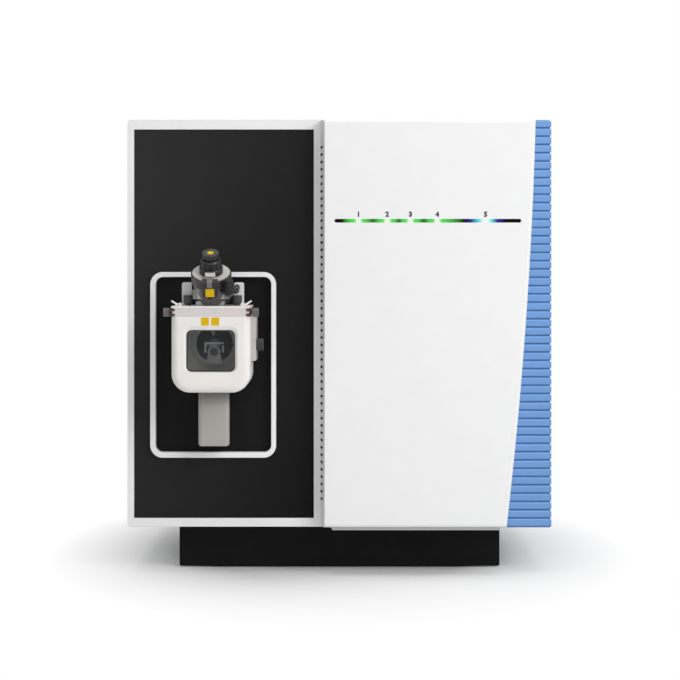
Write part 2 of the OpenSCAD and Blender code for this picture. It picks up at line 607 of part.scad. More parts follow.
module foreline() color([0.72, 0.72, 0.74]) difference() {
  union() {
    rod_y(cy + pump_diameter / 2 - 2, yr + rear_reach, sx, pz + 30, 30);
    rod_y(yr, yr + 4, sx, pz + 30, 50);
    rod_y(yr + rear_reach - 5, yr + rear_reach, sx, pz + 30, 40);
  }
  rod_y(cy, yr + rear_reach + 1, sx, pz + 30, 25);
  rod_z(0, 400, sx, cy, pump_diameter);
}

// Electronics and rear fittings -----------------------------------------
ex = hw - 55;
module power_supply() color([0.6, 0.61, 0.62]) difference() {
  box(ex - 240, ex, 60, yr - 320, zb + t, zb + t + 130);
  for (i = [0 : 9]) box(ex - 225 + i * 21, ex - 215 + i * 21, 55, 64, zb + 20, zb + 110);
}
module boards() color([0.1, 0.35, 0.2]) {
  box(ex - 270, ex, yr - 270, yr - 90, zb + t, zb + t + 8);
  for (i = [0 : 6]) translate([ex - 250 + i * 35, yr - 265, 0]) {
    box(0, 2, 0, 170, zb + t + 7, deck_z - 30);
    for (k = [0 : 3]) box(1, 7, 15 + k * 38, 35 + k * 38, zb + 60, zb + 90);
  }
}
module fan_frames() color([0.08, 0.08, 0.08]) for (x = fan_x) difference() {
  box(x - fan_size / 2, x + fan_size / 2, yr - t - 38, yr - t, fan_z - fan_size / 2, fan_z + fan_size / 2);
  difference() {
    rod_y(yr - 60, yr, x, fan_z, fan_size - 6);
    rod_y(yr - t - 8, yr, x, fan_z, 40);
    for (a = [45 : 90 : 315]) translate([x, yr - t - 8, fan_z]) rotate([0, a, 0]) cube([fan_size, 6, 5]);
  }
  rod_y(yr - t - 9, yr - t - 2, x, fan_z, 8.1);
}
module fan_rotor(x) color([0.12, 0.12, 0.12]) translate([x, 0, fan_z]) {
  rod_y(yr - t - 36, yr - t - 9, 0, 0, 42);
  rod_y(yr - t - 10, yr - t - 3, 0, 0, 8);
  for (a = [0 : 51.4 : 359]) rotate([0, a, 0]) translate([18, yr - t - 22, 0]) rotate([35, 0, 0])
    translate([0, -1.2, -13]) cube([fan_size / 2 - 3 - 3 - 18, 2.4, 26]);
}
module fan_rotor_left() fan_rotor(fan_x[0]);
module fan_rotor_right() fan_rotor(fan_x[1]);
module inlet() color([0.07, 0.07, 0.07]) difference() {
  union() {
    box(inlet_x - 16, inlet_x + 16, yr - 30, yr + 1, iz - 15, iz + 15);
    box(inlet_x - 22, inlet_x + 22, yr, yr + 3, iz - 20, iz + 20);
  }
  box(inlet_x - 12, inlet_x + 12, yr - 14, yr + 4, iz - 9, iz + 9);
}
module rocker(x) color([0.06, 0.06, 0.06]) translate([x - 9.6, yr - 6, iz]) rotate([8, 0, 0]) {
  rotate([90, 0, 90]) linear_extrude(19.2) polygon([[-4, -8], [5, -12], [8, -11], [6.5, 0], [8, 11],
    [5, 12], [-4, 8]]);
  translate([-0.3, 0, 0]) rotate([0, 90, 0]) cylinder(h = 19.8, d = 5);
}
module main_switch() rocker(inlet_x - 40);
module service_switch() rocker(inlet_x - 80);

translate([0, oy, 0]) {
  plinth();
  feet();
  chassis();
  deck();
  top_cover();
  left_cover();
  rear_panel();
  ribbed_panel();
  front_frame();
  black_panel();
  right_cover();
  light_bar();
  trim_ring();
  back_plate();
  interface_block();
  inlet_cone();
  transfer_tube();
  drain_channel();
  source_housing();
  source_band();
  source_lid();
  window_gasket();
  source_window();
  probe_port();
  ring_body();
  locking_ring();
  interlock();
  nebulizer();
  probe_knob();
  probe_cap();
  adjust_knob();
  gas_elbow();
  upright_plates();
  catch_blocks();
  hooks();
  side_knob_left();
  side_knob_right();
  lever_left();
  lever_right();
  needle_block();
  corona_needle();
  manifold();
  manifold_lid();
  ion_guide();
  rods_first();
  collision_cell();
  rods_third();
  rod_holders();
  detector();
  turbo_body();
  turbo_rotor();
  foreline();
  power_supply();
  boards();
  fan_frames();
  fan_rotor_left();
  fan_rotor_right();
  inlet();
  main_switch();
  service_switch();
}
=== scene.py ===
import math
import bpy
from mathutils import Matrix, Vector


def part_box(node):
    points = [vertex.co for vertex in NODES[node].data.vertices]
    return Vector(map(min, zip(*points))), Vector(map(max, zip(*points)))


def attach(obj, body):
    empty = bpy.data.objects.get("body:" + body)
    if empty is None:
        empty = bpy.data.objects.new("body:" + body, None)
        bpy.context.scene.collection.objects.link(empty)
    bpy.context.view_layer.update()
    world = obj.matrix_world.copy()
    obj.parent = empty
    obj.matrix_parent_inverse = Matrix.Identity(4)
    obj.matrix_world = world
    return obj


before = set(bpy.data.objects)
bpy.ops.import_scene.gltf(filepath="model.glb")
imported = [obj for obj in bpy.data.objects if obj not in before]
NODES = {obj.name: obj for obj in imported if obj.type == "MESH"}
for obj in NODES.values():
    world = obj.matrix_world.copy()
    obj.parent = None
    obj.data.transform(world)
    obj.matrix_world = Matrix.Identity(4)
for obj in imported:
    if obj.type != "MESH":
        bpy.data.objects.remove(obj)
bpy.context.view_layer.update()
SCENE = bpy.context.scene

# Places in metres: the front plane (front of the white frame), the ion source and its axis, and the foot of
# the probe port, whose top leans towards the front and whose cap ends CAP_TOP along its axis
FRONT_LOW, FRONT_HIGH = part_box("front_frame")
FRONT_Y = FRONT_LOW.y
SOURCE_LOW, SOURCE_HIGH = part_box("source_housing")
SOURCE_X = (SOURCE_LOW.x + SOURCE_HIGH.x) / 2
SOURCE_AXIS_Z = 0.3845
PROBE_TILT = math.radians(28)
PROBE_FOOT = Vector((SOURCE_X - 0.0015, FRONT_Y - 0.0718, 0.449))
PROBE_AXIS = (0, -math.sin(PROBE_TILT), math.cos(PROBE_TILT))
PROBE_BACK = (0, math.cos(PROBE_TILT), math.sin(PROBE_TILT))
CAP_TOP = 0.0971
ORIGIN = (0, 0, 0)
UP = (0, 0, 1)

# Ribs of the blue corner; slots in the left wall of the right cover, which runs SLOT_LEAN to the right for
# each metre that it stands out
RIB_COUNT = 49
SLOT_COUNT = 49
SLOT_LOW = 0.12355
SLOT_PITCH = 0.0122041
SLOT_HEIGHT = 0.0044
SLOT_LEAN = 0.176

# Screw heads in metres, and how many sides they and the larger discs have
SCREW_RADIUS = 0.0035
SCREW_SOCKET = 0.0016
REAR_SCREW_HEIGHT = 0.0022
SIDE_SCREW_HEIGHT = 0.0015
SCREW_SIDES = 18
DISC_SIDES = 28

# The five lamps of the status light: places along X in metres, and linear colours
LAMP_X = (0.0315, 0.079, 0.1175, 0.162, 0.242)
LAMP_CORE = (0.95, 1.0, 0.9)
LAMP_GREEN = (0.08, 0.6, 0.08)
LAMP_CYAN = (0.08, 0.6, 0.62)
LAMP_BLUE = (0.02, 0.02, 0.25)
LAMP_OFF = (0.0, 0.0, 0.0)

# A green lamp glows evenly between the near and the far distance from its core. The first one's glow starts
# at GLOW_START from its core, and halfway between two lamps it dims to the share GLOW_BETWEEN.
GLOW_NEAR = 0.0075
GLOW_FAR = 0.012
GLOW_START = 0.027
GLOW_BETWEEN = 0.16

# The last lamp's glow: distance from its core along X, and colour
LAST_GLOW = ((-0.036, LAMP_OFF), (-0.024, LAMP_BLUE), (-0.012, LAMP_CYAN), (0, LAMP_CORE),
             (0.011, LAMP_CYAN), (0.019, LAMP_BLUE), (0.034, LAMP_OFF))

# The photograph's frame: its side and its shift in pixels, and how wide a piece of the front plane it shows,
# in metres; the camera's place in metres, and its sensor in millimetres
PHOTO_SIDE = 680
PHOTO_SHIFT = -73
PHOTO_WIDTH = 1.139
CAMERA_DISTANCE = 3.4
CAMERA_X = 0.0009
CAMERA_Z = 0.512
SENSOR = 36


# Materials --------------------------------------------------------------------
def srgb(r, g, b):
    """A linear colour from levels of 0 to 255."""
    return tuple(((c / 255 + 0.055) / 1.055) ** 2.4 if c > 10 else c / 255 / 12.92 for c in (r, g, b))


def new_mat(name):
    """A new material, its node tree and its shader."""
    mat = bpy.data.materials.new(name)
    mat.use_nodes = True
    return mat, mat.node_tree, mat.node_tree.nodes["Principled BSDF"]


def node(tree, kind, **values):
    """Add a node: a value goes to the input of its name, or else to the node's own property."""
    made = tree.nodes.new(kind)
    for key, value in values.items():
        if key in made.inputs:
            made.inputs[key].default_value = value
        else:
            setattr(made, key, value)
    return made


def object_place(tree):
    """The place on the object, in metres."""
    return node(tree, "ShaderNodeTexCoord").outputs["Object"]


def noise(tree, place, scale, detail, roughness=0.5):
    made = node(tree, "ShaderNodeTexNoise", Scale=scale, Detail=detail, Roughness=roughness)
    tree.links.new(place, made.inputs["Vector"])
    return made.outputs["Fac"]


def map_range(tree, value, from_min=0.0, from_max=1.0, to_min=0.0, to_max=1.0, kind="LINEAR"):
    """A value carried from one range to another."""
    made = node(tree, "ShaderNodeMapRange", interpolation_type=kind)
    limits = {"From Min": from_min, "From Max": from_max, "To Min": to_min, "To Max": to_max}
    for key, limit in limits.items():
        made.inputs[key].default_value = limit
    tree.links.new(value, made.inputs["Value"])
    return made.outputs[0]


def calculate(tree, operation, a, b=0.0):
    """The outcome of a math operation on one or two values, each a socket or a number."""
    made = node(tree, "ShaderNodeMath", operation=operation)
    for i, value in enumerate((a, b)):
        if isinstance(value, (int, float)):
            made.inputs[i].default_value = value
        else:
            tree.links.new(value, made.inputs[i])
    return made.outputs[0]


def dot(tree, place, direction):
    made = node(tree, "ShaderNodeVectorMath", operation="DOT_PRODUCT")
    made.inputs[1].default_value = direction
    tree.links.new(place, made.inputs[0])
    return made.outputs["Value"]


def ramp(tree, value, stops):
    """A colour ramp whose stops are (position, colour)."""
    made = node(tree, "ShaderNodeValToRGB")
    elements = made.color_ramp.elements
    while len(elements) < len(stops):
        elements.new(0.5)
    for element, (position, colour) in zip(elements, stops):
        element.position = position
        element.color = tuple(colour) + (1,)
    tree.links.new(value, made.inputs["Fac"])
    return made.outputs["Color"]


def scale_colour(mat, factor):
    """Multiply a finish's colour by a socket's value."""
    tree = mat.node_tree
    colour = tree.nodes["Principled BSDF"].inputs["Base Color"]
    made = node(tree, "ShaderNodeVectorMath", operation="SCALE")
    tree.links.new(colour.links[0].from_socket, made.inputs[0])
    tree.links.new(factor, made.inputs["Scale"])
    tree.links.new(made.outputs[0], colour)


def scale_along(mat, axis, origin, near, far, low=1.0, high=1.0):
    """Scale a finish's colour from low to high between two distances along an axis from the origin."""
    tree = mat.node_tree
    away = node(tree, "ShaderNodeVectorMath", operation="SUBTRACT")
    away.inputs[1].default_value = origin
    tree.links.new(object_place(tree), away.inputs[0])
    scale_colour(mat, map_range(tree, dot(tree, away.outputs[0], axis), near, far, low, high, "SMOOTHSTEP"))


def finish_mat(name, colour, rough=0.45, metal=0.0, var=0.05, scale=30, bump=0.05, fine=900,
               stretch=(1, 1, 1), bevel=0.0, spec=0.5, rough_var=0.1):
    """A painted, moulded or machined surface: its colour clouds by the share var at the noise scale, and a
    grain at the noise scale fine lifts it by bump and varies its roughness; bevel softens its edges."""
    mat, tree, shader = new_mat(name)
    link = tree.links.new
    mapping = node(tree, "ShaderNodeMapping", Scale=stretch)
    link(object_place(tree), mapping.inputs["Vector"])
    cloud = noise(tree, mapping.outputs[0], scale, detail=4, roughness=0.6)
    grain = noise(tree, mapping.outputs[0], fine, detail=2)
    dark = [max(0, c * (1 - var)) for c in colour]
    light = [min(1, c * (1 + var)) for c in colour]
    link(ramp(tree, cloud, ((0.3, dark), (0.7, light))), shader.inputs["Base Color"])
    smooth = max(0.03, rough - rough_var / 2)
    coarse = min(1, rough + rough_var / 2)
    link(map_range(tree, grain, to_min=smooth, to_max=coarse), shader.inputs["Roughness"])
    relief = node(tree, "ShaderNodeBump", Strength=bump, Distance=0.0002)
    link(grain, relief.inputs["Height"])
    if bevel:
        edge = node(tree, "ShaderNodeBevel", samples=4, Radius=bevel)
        link(edge.outputs[0], relief.inputs["Normal"])
    link(relief.outputs[0], shader.inputs["Normal"])
    shader.inputs["Metallic"].default_value = metal
    shader.inputs["Specular IOR Level"].default_value = spec
    return mat


def rib_mat():
    """Blue ribs, with painted shade in each groove and a painted highlight on each upper shoulder. A ramp's
    colours end at 1, so its levels are shares of the brightest one, by which the colour is lifted again. The
    face of a rib is given as (share of its height, level)."""
    mat = finish_mat("blue_rib", srgb(112, 156, 212), 0.45, var=0.03, fine=1200, scale=12, spec=0.3)
    tree = mat.node_tree
    split = node(tree, "ShaderNodeSeparateXYZ")
    tree.links.new(object_place(tree), split.inputs[0])
    height = calculate(tree, "SUBTRACT", split.outputs["Z"], FRONT_LOW.z)
    ribs = calculate(tree, "DIVIDE", height, (FRONT_HIGH.z - FRONT_LOW.z) / RIB_COUNT)
    # Painted shade and highlight over one rib: the groove's shade levels, the shoulder's highlight level, and
    # the face
    groove_shade = (0.42, 0.44, 0.48)
    shoulder_highlight = 1.2
    face = ((0.09, 0.5), (0.15, 0.94), (0.7, 0.97), (0.79, 1.0), (0.82, shoulder_highlight), (0.89, shoulder_highlight), (0.93, 0.9))
    stops = [(0.0, groove_shade)]
    stops += [(place, (level / shoulder_highlight,) * 3) for place, level in face]
    stops.append((1.0, groove_shade))
    shade = ramp(tree, calculate(tree, "FRACT", ribs), stops)
    colour = tree.nodes["Principled BSDF"].inputs["Base Color"]
    shaded = node(tree, "ShaderNodeVectorMath", operation="MULTIPLY")
    tree.links.new(colour.links[0].from_socket, shaded.inputs[0])
    tree.links.new(shade, shaded.inputs[1])
    lifted = node(tree, "ShaderNodeVectorMath", operation="SCALE")
    lifted.inputs["Scale"].default_value = shoulder_highlight
    tree.links.new(shaded.outputs[0], lifted.inputs[0])
    tree.links.new(lifted.outputs[0], colour)
    return mat


def panel_mat():
    """The black front panel: matt, with painted light that brightens it towards its upper left corner."""
    mat = finish_mat("black_front", (0.018, 0.018, 0.0188), 0.5, var=0.06, bump=0.05, fine=1500, scale=6,
                     spec=0.05)
    tree = mat.node_tree
    # Painted light: the colour rises by this much per metre towards the upper left corner
    painted_light_per_metre = (-2.66, 0, 0.74)
    painted_light_at_origin = 0.18
    scale_colour(mat, calculate(tree, "ADD", dot(tree, object_place(tree), painted_light_per_metre), painted_light_at_origin))
    return mat


def chute_mat():
    """The drain channel, with a painted shadow where it runs up under the source."""
    mat = finish_mat("drain_grey", srgb(169, 166, 161), 0.45, var=0.03, bump=0.08, bevel=0.0015, fine=1000,
                     spec=0.3)
    # Painted shadow of the source: the colour falls to 0.38 of itself towards the top
    scale_along(mat, UP, ORIGIN, near=0.276, far=0.307, high=0.38)
    return mat


def ring_mat():
    """The locking ring: light grey, its lever darker."""
    mat = finish_mat("locking_ring_grey", srgb(197, 194, 189), 0.4, var=0.1, bump=0.08, bevel=0.0004,
                     scale=80)
    scale_along(mat, PROBE_BACK, PROBE_FOOT, near=-0.0304, far=-0.0296, low=0.27)
    return mat


def cap_mat():
    """The probe cap: black sides and a grey top face."""
    mat = finish_mat("cap_grey", (0.048, 0.047, 0.045), 0.4, var=0.1, bump=0.08, bevel=0.0004, fine=1100,
                     spec=0.3)
    scale_along(mat, PROBE_AXIS, PROBE_FOOT, near=CAP_TOP - 0.0003, far=CAP_TOP + 0.0003, low=0.5)
    return mat


def cone_mat():
    """The inlet bracket: pale in front, and dark behind it by painted shade where the cone sits deep in the
    interface.
    """
    mat = finish_mat("inlet_metal", (0.36, 0.36, 0.37), 0.35, metal=0.3, var=0.05, scale=60, bump=0.05,
                     fine=700)
    front = (0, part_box("inlet_cone")[0].y, 0)
    # Painted shade: the colour falls to 0.16 of itself just behind the bracket's front
    scale_along(mat, (0, 1, 0), front, near=0.0044, far=0.0052, high=0.16)
    return mat


def cover_mat():
    """The white cover, with painted shade that turns the lip under its lower edge grey."""
    mat = finish_mat("white_cover", (0.87, 0.87, 0.872), 0.45, var=0.01, bump=0.06, fine=1400, spec=0.3)
    # Painted shade: below the lower edge the colour falls to 0.52 of itself
    scale_along(mat, UP, ORIGIN, near=0.0802, far=0.0806, low=0.52)
    return mat


def glass_mat():
    """The smoked window: slightly cloudy, and clear enough to show what is behind it."""
    mat, tree, shader = new_mat("smoked_glass")
    cloud = noise(tree, object_place(tree), scale=35, detail=3)
    tree.links.new(map_range(tree, cloud, to_min=0.05, to_max=0.09), shader.inputs["Roughness"])
    tint = ramp(tree, cloud, ((0.0, (0.035, 0.038, 0.042)), (1.0, (0.045, 0.048, 0.053))))
    tree.links.new(tint, shader.inputs["Base Color"])
    shader.inputs["Alpha"].default_value = 0.17
    shader.inputs["Specular IOR Level"].default_value = 0.16
    return mat


def lamp_stops():
    """Where the strip glows, as (place along X, colour)."""
    green = LAMP_X[:-1]
    stops = [(green[0] - GLOW_START, LAMP_OFF)]
    for i, x in enumerate(green):
        stops += [(x - GLOW_FAR, LAMP_GREEN), (x - GLOW_NEAR, LAMP_GREEN), (x, LAMP_CORE),
                  (x + GLOW_NEAR, LAMP_GREEN), (x + GLOW_FAR, LAMP_GREEN)]
        if i < len(green) - 1:
            stops.append(((x + green[i + 1]) / 2, tuple(c * GLOW_BETWEEN for c in LAMP_GREEN)))
    return stops + [(LAMP_X[-1] + away, colour) for away, colour in LAST_GLOW]


def light_mat():
    """The status light: a dark strip whose lamps glow through it."""
    mat, tree, shader = new_mat("status_light")
    place = object_place(tree)
    split = node(tree, "ShaderNodeSeparateXYZ")
    tree.links.new(place, split.inputs[0])
    low, high = (corner.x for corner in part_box("light_bar"))
    along = map_range(tree, split.outputs["X"], low, high)
    glow = ramp(tree, along, [((x - low) / (high - low), colour) for x, colour in lamp_stops()])
    tree.links.new(glow, shader.inputs["Emission Color"])
    rough = map_range(tree, noise(tree, place, scale=500, detail=2), to_min=0.25, to_max=0.4)
    tree.links.new(rough, shader.inputs["Roughness"])
    shader.inputs["Base Color"].default_value = (0.003, 0.003, 0.003, 1)
    shader.inputs["Specular IOR Level"].default_value = 0.04
    shader.inputs["Emission Strength"].default_value = 1.12
    return mat


# The cabinet's finishes
white_frame = finish_mat("white_frame", (0.86, 0.86, 0.862), 0.42, var=0.012, bevel=0.0018, fine=1400)
white_sheet = finish_mat("white_sheet", (0.76, 0.76, 0.76), 0.6, var=0.02, bump=0.12, fine=700, bevel=0.001,
                         spec=0.12)
grey_sheet = finish_mat("grey_sheet", (0.55, 0.56, 0.57), 0.5, var=0.03, bump=0.12, fine=700)
ring_white = finish_mat("ring_white", (0.88, 0.88, 0.88), 0.4, var=0.015, bevel=0.0025, fine=1400)
bay_black = finish_mat("bay_black", (0.0105, 0.0105, 0.011), 0.45, var=0.1, fine=1500, scale=6, spec=0.05)
black_base = finish_mat("black_base", (0.0085, 0.0085, 0.0087), 0.5, var=0.12, bump=0.2, fine=600, spec=0.06)
rubber = finish_mat("rubber_foot", (0.004, 0.004, 0.004), 0.8, var=0.2, bump=0.3, fine=500, spec=0.05)
zinc = finish_mat("zinc_sheet", (0.6, 0.62, 0.64), 0.35, metal=0.9, var=0.08, scale=60, fine=300)
slot_black = finish_mat("slot_black", (0.002, 0.002, 0.002), 0.8, var=0.3, bump=0.3, spec=0.02)
white_cover = cover_mat()
black_front = panel_mat()
blue_rib = rib_mat()
lamp = light_mat()

# The ion source's finishes
warm_white = finish_mat("warm_white", srgb(236, 233, 229), 0.38, var=0.015, bevel=0.0006, fine=1300)
lilac = finish_mat("lilac_grey", srgb(213, 207, 207), 0.4, var=0.02, bevel=0.0005, fine=1300)
block_grey = finish_mat("block_grey", srgb(187, 182, 179), 0.42, var=0.02, bevel=0.0005, fine=1300)
plate_grey = finish_mat("plate_grey", (0.74, 0.725, 0.73), 0.4, var=0.03, bump=0.06, bevel=0.0005)
pale_block = finish_mat("pale_block", (0.72, 0.73, 0.74), 0.45, var=0.04, fine=700)
bracket_face = finish_mat("bracket_face", (0.88, 0.875, 0.88), 0.4, var=0.03)
black_knob = finish_mat("black_knob", (0.026, 0.026, 0.0265), 0.28, var=0.1, bump=0.06, bevel=0.0005,
                        fine=1100, spec=0.28)
grey_knob = finish_mat("grey_knob", (0.15, 0.147, 0.143), 0.4, var=0.1, bump=0.08, bevel=0.0004, fine=1100,
                       spec=0.35)
needle_black = finish_mat("needle_knob", (0.045, 0.045, 0.044), 0.4, var=0.1, bump=0.08, bevel=0.0004,
                          fine=1100, spec=0.3)
yellow = finish_mat("yellow_patch", srgb(219, 181, 10), 0.5, var=0.03, bump=0.04, fine=1500, spec=0.15)
ink = finish_mat("black_print", (0.01, 0.01, 0.01), 0.6, var=0.1, bump=0.02)
glass = glass_mat()
cap_grey = cap_mat()
inlet_metal = cone_mat()
ring_grey = ring_mat()
drain = chute_mat()

# Metals and the other finishes
alu = finish_mat("cast_metal", (0.2, 0.196, 0.192), 0.3, metal=0.85, var=0.22, scale=90, bump=0.1, fine=500,
                 bevel=0.0006, rough_var=0.18)
alu_part = finish_mat("machined_metal", (0.6, 0.61, 0.62), 0.3, metal=0.9, var=0.05, scale=20, bump=0.08,
                      fine=400, stretch=(1, 8, 1))
steel = finish_mat("bright_steel", (0.66, 0.66, 0.68), 0.24, metal=1.0, var=0.04, scale=60, bump=0.04)
dark_steel = finish_mat("dark_steel", (0.11, 0.11, 0.114), 0.3, metal=0.6, var=0.06, scale=60, fine=700)
dark_metal = finish_mat("dark_metal", (0.058, 0.058, 0.06), 0.36, metal=0.5, var=0.08, bump=0.06,
                        bevel=0.0005)
nozzle = finish_mat("nozzle_steel", (0.72, 0.71, 0.66), 0.32, metal=0.25, var=0.04, bump=0.04)
brown = finish_mat("brown_metal", (0.05, 0.026, 0.02), 0.4, metal=0.4, var=0.15, bump=0.1)
gold = finish_mat("gold_steel", (0.62, 0.5, 0.28), 0.3, metal=1.0)
dark_plastic = finish_mat("dark_plastic", (0.012, 0.012, 0.013), 0.45, var=0.1, bump=0.1)
ceramic = finish_mat("ceramic", (0.8, 0.78, 0.72), 0.5, var=0.03)
board = finish_mat("circuit_board", (0.015, 0.12, 0.045), 0.45, var=0.2, scale=200, bump=0.1)

# The CAD nodes that take each finish
LOOK = {
    white_cover: ["right_cover"],
    white_frame: ["front_frame"],
    white_sheet: ["top_cover", "left_cover"],
    grey_sheet: ["rear_panel"],
    blue_rib: ["ribbed_panel"],
    black_front: ["black_panel"],
    bay_black: ["back_plate"],
    black_base: ["plinth"],
    rubber: ["feet"],
    zinc: ["chassis", "deck", "power_supply"],
    lamp: ["light_bar"],
    ring_white: ["trim_ring", "lever_left", "lever_right"],
    warm_white: ["source_housing", "source_lid"],
    lilac: ["source_band"],
    block_grey: ["needle_block"],
    plate_grey: ["upright_plates"],
    pale_block: ["interface_block"],
    ring_grey: ["locking_ring"],
    drain: ["drain_channel"],
    glass: ["source_window"],
    inlet_metal: ["inlet_cone"],
    cap_grey: ["probe_cap"],
    needle_black: ["corona_needle"],
    grey_knob: ["side_knob_left", "side_knob_right"],
    black_knob: ["probe_knob", "adjust_knob", "main_switch", "service_switch", "fan_rotor_left",
                 "fan_rotor_right"],
    alu: ["probe_port"],
    alu_part: ["manifold", "manifold_lid", "collision_cell", "turbo_body", "turbo_rotor"],
    steel: ["transfer_tube", "rods_first", "rods_third", "detector", "foreline"],
    dark_steel: ["gas_elbow"],
    dark_metal: ["ring_body", "catch_blocks"],
    nozzle: ["nebulizer"],
    brown: ["hooks"],
    gold: ["ion_guide"],
    dark_plastic: ["interlock", "window_gasket", "fan_frames", "inlet"],
    ceramic: ["rod_holders"],
    board: ["boards"],
}
for mat, names in LOOK.items():
    for name in names:
        NODES[name].data.materials.clear()
        NODES[name].data.materials.append(mat)


# Ways to make the details -----------------------------------------------------
BOX_FACES = ((0, 3, 2, 1), (4, 5, 6, 7), (0, 1, 5, 4), (1, 2, 6, 5), (2, 3, 7, 6), (3, 0, 4, 7))


def dress(piece, mat, body):
    """Give a new piece its finish and let it ride on a body."""
    piece.data.materials.append(mat)
    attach(piece, body)
    return piece


def add_mesh(name, verts, faces):
    mesh = bpy.data.meshes.new(name)
    mesh.from_pydata(verts, [], faces)
    mesh.update()
    piece = bpy.data.objects.new(name, mesh)
    SCENE.collection.objects.link(piece)
    return piece


def blocks(name, corners, mat, body):
    """Several blocks as one piece, each from its eight corners: four below, then four above."""
    verts = []
    faces = []
    for eight in corners:
        faces += [tuple(len(verts) + i for i in face) for face in BOX_FACES]
        verts += eight
    return dress(add_mesh(name, verts, faces), mat, body)


def boxes(name, items, mat, body, place=Matrix.Identity(4)):
    """Several boxes as one piece: each item is (x0, x1, y0, y1, z0, z1) in metres."""
    corners = []
    for x0, x1, y0, y1, z0, z1 in items:
        plan = ((x0, y0), (x1, y0), (x1, y1), (x0, y1))
        corners.append([place @ Vector((x, y, z)) for z in (z0, z1) for x, y in plan])
    return blocks(name, corners, mat, body)


def discs(name, centres, radius, height, mat, body, axis, sides, socket=0.0):
    """Several discs as one piece, standing height out along axis from each centre, with a softened edge; a
    socket of that radius may be sunk into each."""
    axis = Vector(axis).normalized()
    u = axis.orthogonal().normalized()
    w = axis.cross(u)
    turns = [2 * math.pi * i / sides for i in range(sides)]
    ring = [u * math.cos(turn) + w * math.sin(turn) for turn in turns]
    levels = [(0, radius), (height * 0.7, radius), (height, radius * 0.86)]
    if socket:
        levels += [(height, socket), (height * 0.3, socket * 0.95)]
    verts = []
    faces = []
    for centre in centres:
        start = len(verts)
        for out, r in levels:
            verts += [Vector(centre) + axis * out + way * r for way in ring]
        last = start + (len(levels) - 1) * sides
        for low in range(start, last, sides):
            faces += [(low + i, low + (i + 1) % sides, low + sides + (i + 1) % sides, low + sides + i)
                      for i in range(sides)]
        faces.append(tuple(start + i for i in reversed(range(sides))))
        faces.append(tuple(last + i for i in range(sides)))
    return dress(add_mesh(name, verts, faces), mat, body)


def numeral(name, number, size, at, mat, body):
    """A thin number that stands on the front, as a mesh."""
    curve = bpy.data.curves.new(name, "FONT")
    curve.body = str(number)
    curve.size = size
    curve.align_x = "CENTER"
    curve.extrude = 0.00008
    curve.offset = 0.0006
    drawn = bpy.data.objects.new(name + "_t", curve)
    SCENE.collection.objects.link(drawn)
    drawn.rotation_euler = (math.pi / 2, 0, 0)
    drawn.location = at
    bpy.context.view_layer.update()
    mesh = bpy.data.meshes.new_from_object(drawn)
    mesh.transform(drawn.matrix_world)
    bpy.data.objects.remove(drawn)
    piece = bpy.data.objects.new(name, mesh)
    SCENE.collection.objects.link(piece)
    mesh.materials.clear()
    return dress(piece, mat, body)


# Front details ----------------------------------------------------------------
def slot_mesh():
    """Black mesh set a little way into each slot in the left wall of the right cover."""
    wall_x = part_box("right_cover")[0].x
    shallow = 0.0006
    deep = 0.0026
    near = 0.0031
    far = 0.0259
    plan = ((shallow, near), (shallow, far), (deep, far), (deep, near))
    lows = [SLOT_LOW + i * SLOT_PITCH for i in range(SLOT_COUNT)]
    corners = [[(wall_x + SLOT_LEAN * out + inset, FRONT_Y - out, z) for z in (low, low + SLOT_HEIGHT)
                for inset, out in plan] for low in lows]
    blocks("slot_mesh", corners, slot_black, "cabinet")


def lamp_numbers():
    """Plain numerals over the five lamps."""
    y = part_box("right_cover")[0].y - 0.00012
    foot_z = 0.5956
    size = 0.0112
    for number, x in enumerate(LAMP_X, 1):
        numeral("lamp_number_%d" % number, number, size, (x, y, foot_z), ink, "cabinet")


def patches():
    """Blank yellow patches on the source and its interlock, and a yellow dot on the cap."""
    front = SOURCE_LOW.y - 0.0002
    back = SOURCE_LOW.y + 0.0001
    width = 0.0128
    lefts = (SOURCE_X - 0.0155, SOURCE_X + 0.0010)
    boxes("housing_patches", [(x, x + width, front, back, 0.4180, 0.4309) for x in lefts], yellow, "source")
    probe = Matrix.Translation(PROBE_FOOT) @ Matrix.Rotation(PROBE_TILT, 4, "X")
    boxes("interlock_patch", [(-0.007, 0.007, -0.0446, -0.0443, 0.0402, 0.0548)], yellow, "source", probe)
    radius = 0.0054
    height = 0.0004
    cap_top = probe @ Vector((0, 0, CAP_TOP))
    discs("cap_dot", [cap_top], radius, height, yellow, "probe_knob", PROBE_AXIS, DISC_SIDES)


def cone_faces():
    """Bright faces of the bracket in front of the inlet cone, and a dark disc of painted shade over its
    outlet.
    """
    x = SOURCE_X
    z = SOURCE_AXIS_Z
    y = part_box("inlet_cone")[0].y + 0.0014
    front = y - 0.0003
    back = y + 0.0002
    foot = z - 0.0137
    boxes("cone_bracket_face", [(x - 0.016, x + 0.016, front, back, z - 0.0001, z + 0.0032),
                                (x - 0.0161, x - 0.013, front, back, foot, z),
                                (x + 0.013, x + 0.0161, front, back, foot, z)], bracket_face, "cabinet")
    # A dark disc that paints the shade deep in the cone's outlet
    outlet = (x, y + 0.00165, z - 0.0125)
    radius = 0.0071
    height = 0.0003
    discs("cone_outlet_face", [outlet], radius, height, dark_metal, "cabinet", (0, -1, 0), DISC_SIDES)


